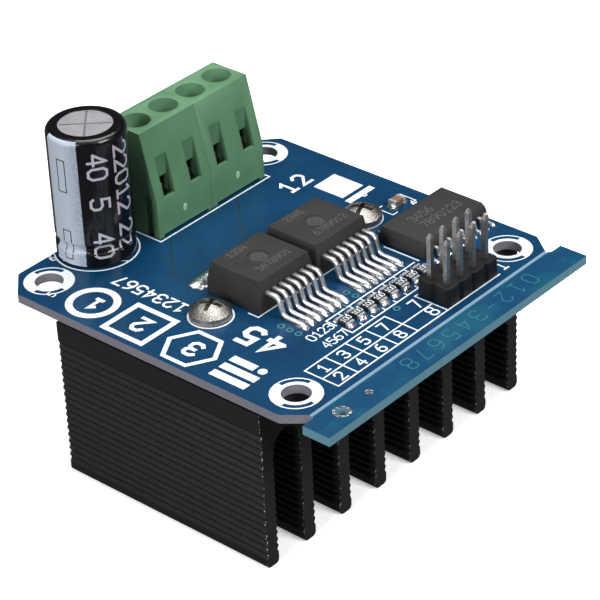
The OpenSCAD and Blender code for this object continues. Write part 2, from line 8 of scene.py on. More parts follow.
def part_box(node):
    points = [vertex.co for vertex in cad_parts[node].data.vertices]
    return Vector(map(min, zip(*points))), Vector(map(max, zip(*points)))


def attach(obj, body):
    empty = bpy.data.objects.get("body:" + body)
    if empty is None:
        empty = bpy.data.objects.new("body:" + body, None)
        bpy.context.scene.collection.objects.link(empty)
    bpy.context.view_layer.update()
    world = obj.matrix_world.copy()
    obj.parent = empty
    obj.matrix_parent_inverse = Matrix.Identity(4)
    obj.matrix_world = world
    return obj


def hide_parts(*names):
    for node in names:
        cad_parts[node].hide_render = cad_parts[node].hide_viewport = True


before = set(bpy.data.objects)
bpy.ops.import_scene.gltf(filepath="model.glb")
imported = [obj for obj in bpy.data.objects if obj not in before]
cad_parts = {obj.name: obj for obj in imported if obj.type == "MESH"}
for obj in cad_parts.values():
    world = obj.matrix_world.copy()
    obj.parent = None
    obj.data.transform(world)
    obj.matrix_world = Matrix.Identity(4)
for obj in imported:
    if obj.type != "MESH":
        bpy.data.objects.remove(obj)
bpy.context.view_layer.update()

MM = 0.001
BODY = "module"
board_low, board_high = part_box("circuit_board")
# Corner of the board's top face at the terminal edge; printed shapes are laid out in mm from it
CORNER = Vector((board_low.x, board_low.y, board_high.z))
# Places from that corner, pitches and sizes, all in mm
BOARD_LENGTH = 49.8
HOLES_X, HOLES_Y = (4.35, 45.45), (4.6, 45.4)
SINK_SCREWS = (26.1, 10.95), (25.85, 40.0)
TERMINAL_SEAM = 30.57
PACKAGE_X, PACKAGE_MIDDLE, PACKAGE_PITCH = 26.5, 25.125, 10.75
PACKAGE_Y = {"a": PACKAGE_MIDDLE - PACKAGE_PITCH / 2, "b": PACKAGE_MIDDLE + PACKAGE_PITCH / 2}
LEAD_PITCH = 1.27
CHIP_MIDDLE = 43.2
CHIP_CAPACITOR_Y = 45.6
RESISTOR_X, RESISTOR_FIRST, RESISTOR_PITCH = 40.25, 19.65, 2.13
CAP_X, CAP_Y, CAP_RADIUS = 3.65, 13.9, 5.15
STRIPE_TURN, STRIPE_WIDTH = math.radians(-86.5), math.radians(54)


def place(x, y, z=0.0):
    """A point given in mm from the board's corner, in the frame's metres."""
    return CORNER + Vector((x, y, z)) * MM


# Camera

def make_camera():
    """The photograph's camera: where it stands, how it is turned and its lens."""
    turn = Vector((2.041752785676113, 0.733691770122759, -0.4578712138659077))
    right, down, forward = Matrix.Rotation(turn.length, 3, turn.normalized())
    data = bpy.data.cameras.new("camera")
    data.sensor_width = 36.0
    data.lens = 160.41
    data.clip_start = 0.01
    camera = bpy.data.objects.new("camera", data)
    axes = Matrix((right, -down, -forward)).transposed()
    stand = place(219.971, -185.896, 176.099)
    camera.matrix_world = Matrix.Translation(stand) @ axes.to_4x4()
    bpy.context.scene.collection.objects.link(camera)
    bpy.context.scene.camera = camera


make_camera()
bpy.context.scene.view_settings.view_transform = "Standard"


# Materials

class Wire:
    """A shader value that takes part in arithmetic; each operation adds its Math node."""

    def __init__(self, finish, socket):
        self.finish = finish
        self.socket = socket

    def __add__(self, other):
        return self.finish.math("ADD", self, other)

    def __sub__(self, other):
        return self.finish.math("SUBTRACT", self, other)

    def __rsub__(self, other):
        return self.finish.math("SUBTRACT", other, self)

    def __mul__(self, other):
        return self.finish.math("MULTIPLY", self, other)

    def __lt__(self, other):
        return self.finish.math("LESS_THAN", self, other)

    def __gt__(self, other):
        return self.finish.math("GREATER_THAN", self, other)

    def __abs__(self):
        return self.finish.math("ABSOLUTE", self)

    __radd__ = __add__
    __rmul__ = __mul__


class Finish:
    """A procedural material on Object coordinates, measured in mm from the board's corner."""

    def __init__(self, name):
        self.material = bpy.data.materials.new(name)
        self.material.use_nodes = True
        self.tree = self.material.node_tree
        self.shader = self.tree.nodes["Principled BSDF"]
        spot = self.node("ShaderNodeTexCoord", out="Object")
        offset = self.node("ShaderNodeVectorMath", {"operation": "SUBTRACT"}, {0: spot, 1: CORNER})
        self.spot = self.node("ShaderNodeVectorMath", {"operation": "SCALE"}, {0: offset, "Scale": 1 / MM})

    def node(self, kind, settings=None, sockets=None, out=0):
        """Adds a node with its settings, and its sockets given as values or wires."""
        made = self.tree.nodes.new(kind)
        for name, value in (settings or {}).items():
            setattr(made, name, value)
        for name, value in (sockets or {}).items():
            if isinstance(value, Wire):
                self.tree.links.new(value.socket, made.inputs[name])
            else:
                made.inputs[name].default_value = value
        return Wire(self, made.outputs[out])

    def math(self, operation, *values):
        """One Math node on numbers or wires."""
        return self.node("ShaderNodeMath", {"operation": operation}, dict(enumerate(values)))

    def axis(self, letter):
        """The place along an axis, in mm from the board's corner."""
        return self.node("ShaderNodeSeparateXYZ", sockets={0: self.spot}, out=letter)

    def facing(self, letter):
        """How far the surface faces along an axis, from -1 to 1."""
        normal = self.node("ShaderNodeNewGeometry", out="Normal")
        return self.node("ShaderNodeSeparateXYZ", sockets={0: normal}, out=letter)

    def noise(self, scale, detail=3.0, stretch=(1.0, 1.0, 1.0), roughness=0.55):
        """Noise with a scale per mm, finer along the axes that are stretched more."""
        spot = self.node("ShaderNodeMapping", sockets={"Vector": self.spot, "Scale": stretch})
        return self.node("ShaderNodeTexNoise", sockets={
            "Vector": spot, "Scale": scale, "Detail": detail, "Roughness": roughness})

    def steps(self, value, low, high):
        """0 below low and 1 above high."""
        return self.node("ShaderNodeMapRange", sockets={0: value, 1: low, 2: high, 3: 0.0, 4: 1.0})

    def mix(self, factor, one, other):
        """A colour between two colours or wires."""
        wide = [c if isinstance(c, Wire) else (*c, 1.0) for c in (one, other)]
        return self.node("ShaderNodeMix", {"data_type": "RGBA"}, {0: factor, 6: wide[0], 7: wide[1]}, out=2)

    def bump(self, height, distance):
        """A normal bent by a height, with the distance in mm."""
        return self.node("ShaderNodeBump", sockets={
            "Height": height, "Distance": distance * MM, "Strength": 1.0})

    def shade(self, **values):
        """Sets the shader's inputs, named in small letters, and returns the material."""
        for name, value in values.items():
            socket = self.shader.inputs[name.replace("_", " ").title().replace("Ior", "IOR")]
            if isinstance(value, Wire):
                self.tree.links.new(value.socket, socket)
            elif isinstance(value, tuple):
                socket.default_value = (*value, 1.0)
            else:
                socket.default_value = value
        return self.material


def solder_mask():
    """Deep blue faces, the pale cut groove, and laminate edges that differ on the rail."""
    f = Finish("solder_mask")
    cloud = f.noise(0.12, 4.0)
    weave = f.noise(2.2, 2.0, (1.0, 0.35, 1.0))
    speck = f.noise(5.0, 2.0)
    blue = f.mix(f.steps(cloud, 0.3, 0.7), (0.0022, 0.028, 0.075), (0.0045, 0.044, 0.108))
    blue = f.mix(f.steps(weave, 0.35, 0.75) * 0.3, blue, (0.007, 0.055, 0.128))
    blue = f.mix(f.steps(speck, 0.7, 0.78) * 0.35, blue, (0.05, 0.14, 0.22))
    along = f.axis("X")
    rail = along > BOARD_LENGTH + 0.15
    patch = f.steps(f.noise(0.3, 2.0, (1.0, 0.5, 1.0)), 0.45, 0.6)
    blue = f.mix(rail, blue, f.mix(patch, (0.006, 0.05, 0.115), (0.007, 0.075, 0.13)))
    fibre = f.noise(3.2, 5.0, (1.0, 1.0, 5.0), 0.7)
    laminate = f.mix(f.steps(fibre, 0.3, 0.7), (0.11, 0.105, 0.13), (0.3, 0.29, 0.34))
    rail_edge = f.mix(f.steps(fibre, 0.3, 0.7), (0.06, 0.19, 0.27), (0.2, 0.36, 0.43))
    laminate = f.mix(rail, laminate, rail_edge)
    edge = abs(f.facing("Z")) < 0.6
    color = f.mix(edge, blue, laminate)
    cut = abs(along - BOARD_LENGTH) < 0.24
    bare = cut * (1 - (abs(f.facing("Z")) < 0.1))
    color = f.mix(bare * 0.85, color, f.mix(fibre, (0.12, 0.24, 0.34), (0.34, 0.5, 0.6)))
    grain = f.noise(9.0, 3.0)
    return f.shade(base_color=color, roughness=0.2 + 0.45 * edge + 0.12 * grain, specular_ior_level=0.2,
                   coat_weight=0.08 - 0.08 * edge, coat_roughness=0.05,
                   normal=f.bump(fibre * edge + weave * 0.12, 0.05))


def silk_ink():
    """White ink that lies unevenly."""
    f = Finish("silk_ink")
    patchy = f.noise(3.0, 5.0)
    color = f.mix(f.steps(patchy, 0.3, 0.7), (0.6, 0.66, 0.7), (0.84, 0.88, 0.9))
    return f.shade(base_color=color, roughness=0.5 + 0.15 * patchy, normal=f.bump(f.noise(14.0), 0.01))


def code_ink():
    """Faint laser-marked figures on the moulded packages."""
    f = Finish("code_ink")
    color = f.mix(f.noise(6.0, 4.0), (0.045, 0.043, 0.04), (0.11, 0.105, 0.1))
    return f.shade(base_color=color, roughness=0.7)


def plane_gap():
    """Mask over bare laminate, darker than over copper."""
    f = Finish("plane_gap")
    color = f.mix(f.noise(1.5), (0.001, 0.012, 0.03), (0.002, 0.02, 0.045))
    return f.shade(base_color=color, roughness=0.4)


def etched_copper():
    """Copper seen through the mask."""
    f = Finish("etched_copper")
    color = f.mix(f.noise(2.5), (0.008, 0.1, 0.15), (0.03, 0.19, 0.22))
    return f.shade(base_color=color, roughness=0.35)


def bright_metal(name, dark, light, rough, streak=(1.0, 1.0, 1.0),
                 tarnish=0.45, dent=0.05, spread=1.1, metal=1.0):
    """Plated metal with cloudy tarnish and fine drawn or stamped marks."""
    f = Finish(name)
    cloud = f.noise(spread, 4.0)
    line = f.noise(5.0, 5.0, streak, 0.65)
    dull = f.steps(cloud, 1 - tarnish - 0.15, 1 - tarnish + 0.25)
    color = f.mix(line, dark, light)
    return f.shade(base_color=f.mix(dull * 0.6, color, tuple(c * 0.4 for c in dark)), metallic=metal,
                   roughness=rough + 0.18 * line + 0.15 * dull, normal=f.bump(line, dent))


def lumpy_solder():
    """Solder that set unevenly, with small facets that catch the light."""
    f = Finish("solder")
    lump = f.noise(2.6, 3.0, roughness=0.5)
    cell = f.node("ShaderNodeTexVoronoi", {"feature": "SMOOTH_F1"},
                  {"Vector": f.spot, "Scale": 2.4, "Smoothness": 0.4})
    flux = f.steps(f.noise(1.4, 3.0), 0.5, 0.72)
    color = f.mix(lump, (0.3, 0.31, 0.33), (0.86, 0.87, 0.9))
    return f.shade(base_color=f.mix(flux * 0.7, color, (0.1, 0.095, 0.09)), metallic=1.0,
                   roughness=0.14 + 0.2 * lump + 0.2 * flux, normal=f.bump(lump + cell * 0.6, 0.05))


def moulding(name, dark, light, rough=0.6, grain=14.0, depth=0.05, shine=0.35):
    """Moulded plastic or epoxy with a fine spark-eroded grain and a little dust."""
    f = Finish(name)
    fine = f.noise(grain, 4.0, roughness=0.7)
    cloud = f.noise(0.4, 3.0)
    dust = f.steps(f.noise(6.5, 2.0), 0.73, 0.78)
    color = f.mix(fine * 0.6 + cloud * 0.4, dark, light)
    color = f.mix(dust * 0.3, color, tuple(min(1.0, c * 4 + 0.03) for c in light))
    return f.shade(base_color=color, roughness=rough - 0.15 + 0.3 * fine, specular_ior_level=shine,
                   normal=f.bump(fine, depth))


def package_mould():
    """Rough epoxy with a paler round ejector mark in the middle of each package."""
    f = Finish("epoxy_mould")
    fine = f.noise(7.0, 4.0, roughness=0.8)
    cloud = f.noise(0.35, 3.0)
    x = f.axis("X") - PACKAGE_X
    y = abs(f.axis("Y") - PACKAGE_MIDDLE) - PACKAGE_PITCH / 2
    reach = x * x + y * y
    ring = (reach < 0.6 ** 2) * (reach > 0.42 ** 2)
    disc = (reach < 1.15 ** 2) * (1 - 0.6 * ring) * (f.facing("Z") > 0.9)
    mottle = f.steps(fine, 0.35, 0.68) * 0.7 + cloud * 0.3
    color = f.mix(mottle, (0.008, 0.0078, 0.0078), (0.05, 0.049, 0.048))
    color = f.mix(disc * 0.6, color, (0.085, 0.083, 0.082))
    dust = f.steps(f.noise(6.5, 2.0), 0.73, 0.78)
    color = f.mix(dust * 0.3, color, (0.3, 0.3, 0.3))
    return f.shade(base_color=color, roughness=0.48 + 0.3 * fine, specular_ior_level=0.28,
                   normal=f.bump(fine, 0.12))


def green_plastic():
    """Cloudy, scuffed green plastic with a dark seam where the housings meet."""
    f = Finish("green_plastic")
    cloud = f.noise(0.25, 3.0)
    fine = f.noise(16.0, 4.0, roughness=0.7)
    color = f.mix(cloud, (0.075, 0.185, 0.095), (0.115, 0.255, 0.138))
    scuff = f.steps(f.noise(1.6, 6.0, roughness=0.75), 0.62, 0.78)
    color = f.mix(scuff * 0.25, color, (0.24, 0.42, 0.28))
    seam = (abs(f.axis("Y") - TERMINAL_SEAM) < 0.07) * 0.35
    color = f.mix(seam, color, (0.04, 0.1, 0.05))
    return f.shade(base_color=color, roughness=0.4 + 0.16 * fine, specular_ior_level=0.45,
                   normal=f.bump(fine + scuff * 0.5, 0.03))


def gate_plastic():
    """Torn moulding gates, paler than the plastic round them."""
    f = Finish("gate_plastic")
    torn = f.noise(7.0, 4.0, roughness=0.7)
    color = f.mix(torn, (0.2, 0.36, 0.22), (0.45, 0.62, 0.46))
    return f.shade(base_color=color, roughness=0.55, normal=f.bump(torn, 0.06))


def anodised():
    """Black anodised extrusion: die lines along its length, sawn ends and bright nicks at their rims, and
    painted shade towards its bottom.
    """
    f = Finish("anodised")
    drawn = f.noise(3.0, 5.0, (0.06, 1.6, 1.6), 0.65)
    sawn = f.noise(2.0, 5.0, (1.0, 3.2, 0.35), 0.7)
    end = abs(f.facing("X")) > 0.7
    middle = 0.5 * sum(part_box("heatsink")[k].x for k in (0, 1))
    half = 0.5 * (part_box("heatsink")[1].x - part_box("heatsink")[0].x) / MM
    reach = abs(f.axis("X") - (middle - CORNER.x) / MM)
    nick = (reach > half - 0.16) * (1 - end) * f.steps(f.noise(3.6, 2.0), 0.56, 0.62)
    dust = f.steps(f.noise(4.5, 2.0), 0.75, 0.79)
    color = f.mix(drawn, (0.007, 0.007, 0.008), (0.019, 0.019, 0.022))
    # Painted shade: the extrusion darkens towards its bottom
    foot = f.steps(f.axis("Z"), -23.0, -13.0)
    color = f.mix((1 - foot) * 0.45, color, (0.005, 0.005, 0.006))
    color = f.mix(end, color, f.mix(sawn, (0.008, 0.0085, 0.0085), (0.026, 0.027, 0.027)))
    color = f.mix(nick, color, (0.6, 0.6, 0.58))
    color = f.mix(dust * 0.35, color, (0.22, 0.22, 0.22))
    return f.shade(base_color=color, metallic=0.1 + 0.8 * nick, roughness=0.42 + 0.16 * drawn + 0.1 * end,
                   specular_ior_level=0.32, normal=f.bump(drawn * (1 - end) + sawn * end * 2.2, 0.05))


def sleeve_film():
    """Black shrunk film with a pale polarity stripe down one side."""
    f = Finish("sleeve_film")
    x = f.axis("X") - CAP_X
    y = f.axis("Y") - CAP_Y
    c, s = math.cos(-STRIPE_TURN), math.sin(-STRIPE_TURN)
    turn = f.math("ARCTAN2", x * s + y * c, x * c - y * s)
    inside = f.axis("Z") < (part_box("capacitor_sleeve")[1].z - CORNER.z) / MM - 0.12
    stripe = (abs(turn) < STRIPE_WIDTH / 2) * inside
    ink = f.noise(7.0, 4.0)
    pale = f.mix(ink, (0.36, 0.42, 0.51), (0.6, 0.66, 0.75))
    # Painted shade: the stripe is darkened towards one side, in patches
    pale = f.mix(f.steps(turn, 0.1, 0.45) * f.steps(f.noise(11.0, 3.0), 0.4, 0.6), pale, (0.13, 0.16, 0.22))
    return f.shade(base_color=f.mix(stripe, (0.0035, 0.0032, 0.0045), pale), roughness=0.2 + 0.22 * stripe,
                   specular_ior_level=0.3, coat_weight=0.3 - 0.1 * stripe, coat_roughness=0.1,
                   normal=f.bump(f.noise(0.9, 2.0, (1.0, 1.0, 0.4)), 0.08))


def can_metal():
    """Pressed aluminium top, brushed one way, with painted shade in the scored cross and below the top face.
    """
    f = Finish("can_metal")
    line = f.noise(6.0, 4.0, (0.15, 1.0, 1.0))
    cloud = f.noise(0.5, 3.0)
    top = (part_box("capacitor_can")[1].z - CORNER.z) / MM
    # Painted shade: all below the top face, the scored cross among it, is darkened
    score_shade = f.axis("Z") < top - 0.05
    color = f.mix(line * 0.5 + cloud * 0.5, (0.48, 0.48, 0.51), (0.95, 0.95, 0.97))
    return f.shade(base_color=f.mix(score_shade * 0.5, color, (0.12, 0.12, 0.13)), metallic=0.95,
                   roughness=0.26 + 0.22 * line, normal=f.bump(line, 0.03))


def chip_body(name, middle, axis, half, body_dark, body_light):
    """A two-ended chip: ceramic or glaze in the middle, tinned ends."""
    f = Finish(name)
    end = abs(f.axis(axis) - middle) > half
    cloud = f.noise(4.0, 4.0)
    tin = f.mix(cloud, (0.4, 0.4, 0.42), (0.72, 0.72, 0.74))
    color = f.mix(end, f.mix(cloud, body_dark, body_light), tin)
    return f.shade(base_color=color, metallic=end * 0.9, roughness=0.3 + 0.2 * cloud,
                   normal=f.bump(cloud, 0.03))


FINISHES = {
    "mask": solder_mask(),
    "silk": silk_ink(),
    "code": code_ink(),
    "gap": plane_gap(),
    "etched": etched_copper(),
    # Painted shade that stands for the inside of the open via holes
    "dark": moulding("painted_hole_shade", (0.001, 0.003, 0.006), (0.003, 0.006, 0.012)),
    "heatsink": anodised(),
    "pad": moulding("pad_rubber", (0.012, 0.012, 0.013), (0.03, 0.03, 0.032), 0.8),
    "screw": bright_metal("screw_plating", (0.13, 0.12, 0.11), (0.62, 0.59, 0.55), 0.15,
                          tarnish=0.4, dent=0.08, spread=0.9),
    "lead": bright_metal("lead_tin", (0.45, 0.45, 0.46), (0.9, 0.9, 0.92), 0.27,
                         (0.5, 1.6, 0.5), 0.42, 0.015),
    "solder": lumpy_solder(),
    "pin": bright_metal("pin_plating", (0.36, 0.34, 0.31), (0.85, 0.82, 0.77), 0.24,
                        (1.6, 1.6, 0.2), 0.45, 0.015),
    "mould": package_mould(),
    "chip_mould": moulding("chip_mould", (0.013, 0.0125, 0.013), (0.042, 0.04, 0.041),
                           0.52, 8.0, 0.09, 0.3),
    "header": moulding("header_plastic", (0.002, 0.0024, 0.003), (0.009, 0.01, 0.012),
                       0.46, 12.0, 0.05, 0.22),
    "green": green_plastic(),
    "gate": gate_plastic(),
    "cage": bright_metal("cage_nickel", (0.6, 0.56, 0.5), (0.95, 0.93, 0.88), 0.4, metal=0.35),
    "can": can_metal(),
    "sleeve": sleeve_film(),
    "sleeve_ink": moulding("sleeve_ink", (0.3, 0.3, 0.36), (0.5, 0.49, 0.56), 0.5, 8.0, 0.01),
    "bung": moulding("bung_rubber", (0.008, 0.008, 0.008), (0.02, 0.02, 0.02), 0.7),
    "winding": moulding("winding_paper", (0.35, 0.3, 0.22), (0.55, 0.5, 0.4), 0.8),
    "resistor": chip_body("resistor_glaze", RESISTOR_X, "X", 0.66,
                          (0.006, 0.006, 0.007), (0.022, 0.022, 0.024)),
    "capacitor": chip_body("ceramic", CHIP_CAPACITOR_Y, "Y", 0.56,
                           (0.13, 0.07, 0.035), (0.24, 0.14, 0.075)),
}


# Meshes

def piece(name, mesh, finish, replaces=()):
    """Puts a finished mesh in the scene as a piece that moves with the module."""
    made = bpy.data.objects.new(name, mesh)
    bpy.context.scene.collection.objects.link(made)
    mesh.materials.clear()
    mesh.materials.append(FINISHES[finish])
    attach(made, BODY)
    if replaces:
        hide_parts(*replaces)


def mesh_from(bm, name, smooth):
    """The mesh of a finished bmesh, smooth up to an angle in degrees, or flat for 0."""
    bmesh.ops.recalc_face_normals(bm, faces=bm.faces)
    mesh = bpy.data.meshes.new(name)
    bm.to_mesh(mesh)
    bm.free()
    if smooth:
        mesh.shade_smooth()
        mesh.set_sharp_from_angle(angle=math.radians(smooth))
    return mesh


def softened(node, finish, width):
    """A copy of a CAD node with its edges rounded, to stand for the node."""
    bm = bmesh.new()
    bm.from_mesh(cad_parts[node].data)
    bmesh.ops.remove_doubles(bm, verts=bm.verts, dist=1e-6)
    bmesh.ops.dissolve_limit(bm, angle_limit=math.radians(0.5), verts=bm.verts, edges=bm.edges)
    mesh = bpy.data.meshes.new(node + "_rounded")
    bm.to_mesh(mesh)
    bm.free()
    made = bpy.data.objects.new("rounding", mesh)
    bpy.context.scene.collection.objects.link(made)
    bevel = made.modifiers.new("edge", "BEVEL")
    bevel.width = width * MM
    bevel.segments = 2
    bevel.limit_method = "ANGLE"
    bevel.angle_limit = math.radians(35)
    bevel.use_clamp_overlap = True
    graph = bpy.context.evaluated_depsgraph_get()
    done = bpy.data.meshes.new_from_object(made.evaluated_get(graph))
    bpy.data.objects.remove(made)
    done.shade_smooth()
    done.set_sharp_from_angle(angle=math.radians(32))
    piece(node + "_rounded", done, finish, (node,))


GLYPHS = {
    "0": [[(.15, 0), (.45, 0), (.6, .2), (.6, .8), (.45, 1), (.15, 1), (0, .8), (0, .2), (.15, 0)]],
    "1": [[(.08, .78), (.32, 1), (.32, 0)], [(.1, 0), (.54, 0)]],
    "2": [[(0, .8), (.15, 1), (.45, 1), (.6, .8), (.6, .62), (0, 0), (.62, 0)]],
    "3": [[(0, .86), (.15, 1), (.45, 1), (.6, .86), (.6, .66), (.44, .53), (.2, .53)],
          [(.44, .53), (.6, .38), (.6, .15), (.45, 0), (.15, 0), (0, .14)]],
    "4": [[(.46, 0), (.46, 1), (0, .3)], [(.03, .3), (.62, .3)]],
    "5": [[(.56, 1), (.06, 1), (.02, .57), (.42, .6), (.6, .45), (.6, .15), (.45, 0), (.12, 0), (0, .12)]],
    "6": [[(.5, 1), (.2, .88), (0, .52), (0, .4)],
          [(0, .15), (.15, 0), (.45, 0), (.6, .15), (.6, .4), (.45, .55), (.15, .55), (0, .4), (0, .15)]],
    "7": [[(0, 1), (.6, 1), (.24, 0)]],
    "8": [[(.15, .53), (.02, .66), (.02, .86), (.16, 1),
           (.44, 1), (.58, .86), (.58, .66), (.45, .53), (.15, .53)],
          [(.15, .53), (0, .38), (0, .14), (.15, 0), (.45, 0), (.6, .14), (.6, .38), (.45, .53), (.15, .53)]],
    "9": [[(.6, .85), (.45, 1), (.15, 1), (0, .85), (0, .6), (.15, .45), (.45, .45), (.6, .6), (.6, .85)],
          [(.6, .6), (.6, .48), (.4, .12), (.1, 0)]],
    "-": [[(.08, .5), (.52, .5)]],
}


# Ways to write figures: the direction they read in, then the direction of their tops
SIDEWAYS = (0, 1), (-1, 0)
REVERSED = (-1, 0), (0, -1)
DOWNWARDS = (0, -1), (1, 0)


class Print:
    """Gathers printed shapes, laid out in mm on a surface, into one thin mesh."""

    LAYERS, LAYER_STEP = 12, 0.0008

    def __init__(self, surface, lift=0.02, step=None):
        self.surface = surface
        self.lift = lift
        self.step = step
        self.layer = 0
        self.bm = bmesh.new()

    def strip(self, left, right, closed=False):
        """A band between two lines of points, a hair higher than the band before it."""
        self.layer = (self.layer + 1) % self.LAYERS
        top = self.lift + self.layer * self.LAYER_STEP
        rows = [[self.bm.verts.new(self.surface(*a, h)) for a, h in
                 ((l, top), (r, top), (r, 0.0), (l, 0.0))] for l, r in zip(left, right)]
        pairs = list(zip(rows, rows[1:] + rows[:1])) if closed else list(zip(rows, rows[1:]))
        for one, two in pairs:
            for k in range(4):
                self.bm.faces.new((one[k], two[k], two[(k + 1) % 4], one[(k + 1) % 4]))
        if not closed:
            self.bm.faces.new(rows[0])
            self.bm.faces.new(rows[-1][::-1])

    def line(self, points, width):
        """A drawn line with mitred corners; it closes where it ends at its start."""
        points = [Vector(p) for p in points]
        closed = len(points) > 2 and (points[0] - points[-1]).length < 1e-6
        if self.step:
            fine = []
            for a, b in zip(points, points[1:]):
                count = max(1, math.ceil((b - a).length / self.step))
                fine += [a.lerp(b, i / count) for i in range(count)]
            points = fine + points[-1:]
        if closed:
            points.pop()
        left, right = [], []
        for i, p in enumerate(points):
            before = points[i - 1] if closed or i else None
            after = points[(i + 1) % len(points)] if closed or i + 1 < len(points) else None
            parts = ((before, p), (p, after))
            ways = [(b - a).normalized() for a, b in parts if a is not None and b is not None]
            sides = [Vector((-w.y, w.x)) for w in ways]
            side = sum(sides, Vector((0, 0))).normalized()
            side *= width / 2 / max(0.5, side.dot(sides[0]))
            # Open ends reach a little past their points
            if not closed and i == 0:
                p = p - ways[0] * width * 0.4
            if not closed and i == len(points) - 1:
                p = p + ways[-1] * width * 0.4
            left.append(tuple(p + side))
            right.append(tuple(p - side))
        self.strip(left, right, closed)

    def ring(self, x, y, inner, outer, start=0.0, stop=360.0, step=6.0):
        """A ring, or a part of one between two angles in degrees."""
        count = max(2, round((stop - start) / step))
        turns = [math.radians(start + (stop - start) * i / count) for i in range(count + 1)]
        closed = stop - start > 359.9
        turns = turns[:-1] if closed else turns
        lines = [[(x + r * math.cos(t), y + r * math.sin(t)) for t in turns] for r in (outer, inner)]
        self.strip(*lines, closed)

    def bar(self, x0, y0, x1, y1):
        """A filled rectangle."""
        self.strip([(x0, y0), (x1, y0)], [(x0, y1), (x1, y1)])

    def write(self, digits, x, y, height, along, up, width, gap=0.35):
        """Stroke digits from the point x, y, read along one direction with their tops towards another."""
        along, up = Vector(along), Vector(up)
        for k, digit in enumerate(digits):
            for stroke in GLYPHS[digit]:
                self.line([Vector((x, y)) + along * height * (u + k * (0.6 + gap)) + up * height * v
                           for u, v in stroke], width)

    def finish(self, name, finish, slot):
        """Puts all that was printed in the scene as one piece."""
        piece(name, mesh_from(self.bm, name, 0), finish)


# Repeats with Geometry Nodes

def row_tree():
    """Repeats a template object along a line: count, spacing and material are inputs."""
    tree = bpy.data.node_groups.new("row_of_pieces", "GeometryNodeTree")
    face = tree.interface
    face.new_socket("Geometry", in_out="INPUT", socket_type="NodeSocketGeometry")
    inputs = (("Template", "Object"), ("Count", "Int"), ("Spacing", "Vector"), ("Material", "Material"))
    for name, kind in inputs:
        face.new_socket(name, in_out="INPUT", socket_type="NodeSocket" + kind)
    face.new_socket("Geometry", in_out="OUTPUT", socket_type="NodeSocketGeometry")
    add, link = tree.nodes.new, tree.links.new
    given, result = add("NodeGroupInput"), add("NodeGroupOutput")
    line, source = add("GeometryNodeMeshLine"), add("GeometryNodeObjectInfo")
    kinds = ("InstanceOnPoints", "RealizeInstances", "SetMaterial")
    spread, real, paint = (add("GeometryNode" + kind) for kind in kinds)
    link(given.outputs["Count"], line.inputs["Count"])
    link(given.outputs["Spacing"], line.inputs["Offset"])
    link(given.outputs["Template"], source.inputs["Object"])
    link(line.outputs["Mesh"], spread.inputs["Points"])
    link(source.outputs["Geometry"], spread.inputs["Instance"])
    link(spread.outputs["Instances"], real.inputs["Geometry"])
    link(real.outputs["Geometry"], paint.inputs["Geometry"])
    link(given.outputs["Material"], paint.inputs["Material"])
    link(paint.outputs["Geometry"], result.inputs["Geometry"])
    return tree


ROW_TREE = row_tree()


def row(name, template, count, spacing, finish):
    """One piece made of copies of a template mesh, each a spacing (mm) from the last."""
    source = bpy.data.objects.new("template", template)
    holder = bpy.data.objects.new("holder", bpy.data.meshes.new("holder"))
    for made in (source, holder):
        bpy.context.scene.collection.objects.link(made)
    modifier = holder.modifiers.new("row", "NODES")
    modifier.node_group = ROW_TREE
    keys = {item.name: item.identifier for item in ROW_TREE.interface.items_tree if item.in_out == "INPUT"}
    modifier[keys["Template"]] = source
    modifier[keys["Count"]] = count
    modifier[keys["Spacing"]] = tuple(c * MM for c in spacing)
    modifier[keys["Material"]] = FINISHES[finish]
    graph = bpy.context.evaluated_depsgraph_get()
    mesh = bpy.data.meshes.new_from_object(holder.evaluated_get(graph))
    for made in (source, holder):
        bpy.data.objects.remove(made)
    piece(name, mesh, finish)


def mound(x, y, length, width, height, tilt=0.0, rings=6, spokes=22, uneven=0.16):
    """A rounded heap of solder on the board, tilt (-1 to 1) leaning its peak along X."""
    bm = bmesh.new()

    def spot(reach, angle, rise):
        squircle = (abs(math.cos(angle)) ** 4 + abs(math.sin(angle)) ** 4) ** -0.25
        way = Vector((math.cos(angle) * reach, math.sin(angle) * reach, rise))
        swell = 1 + uneven * noise.noise(way * 2.3 + Vector((x, y, 0)))
        return place(x + length / 2 * (reach * squircle * math.cos(angle) * swell + tilt * rise * 0.8),
                     y + width / 2 * reach * squircle * math.sin(angle) * swell, height * rise * swell)

    loops = []
    for i in range(rings):
        reach, rise = 1 - (i / rings) ** 1.6, math.sin(i / rings * math.pi / 2) ** 0.8
        loops.append([bm.verts.new(spot(reach, 2 * math.pi * k / spokes, rise)) for k in range(spokes)])
    peak = bm.verts.new(spot(0.0, 0.0, 1.0))
    for low, high in zip(loops, loops[1:]):
        for k in range(spokes):
            n = (k + 1) % spokes
            bm.faces.new((low[k], low[n], high[n], high[k]))
    for k in range(spokes):
        bm.faces.new((loops[-1][k], loops[-1][(k + 1) % spokes], peak))
    bm.faces.new(loops[0][::-1])
    return mesh_from(bm, "mound", 60)


# CAD nodes: most keep their shape, and the moulded ones get rounded edges

def dress(node, finish):
    """A material and smooth shading for a CAD node that keeps its shape."""
    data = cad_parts[node].data
    data.materials.clear()
    data.materials.append(FINISHES[finish])
    data.shade_smooth()
    data.set_sharp_from_angle(angle=math.radians(30))


for node, finish in {
    "circuit_board": "mask", "thermal_pad": "pad", "heatsink": "heatsink", "heatsink_screws": "screw",
    "solder_joints": "solder", "capacitor_can": "can", "capacitor_sleeve": "sleeve", "capacitor_bung": "bung",
    "capacitor_winding": "winding", "capacitor_leads": "lead", "chip_capacitor": "capacitor",
    "buffer_chip_leads": "lead",
}.items():
    dress(node, finish)
for number in range(1, 5):
    dress(f"terminal_contact_{number}", "cage")
    dress(f"terminal_cage_{number}", "cage")
    dress(f"terminal_screw_{number}", "screw")
for number in range(1, 9):
    dress(f"header_pin_{number}", "pin")
    dress(f"chip_resistor_{number}", "resistor")

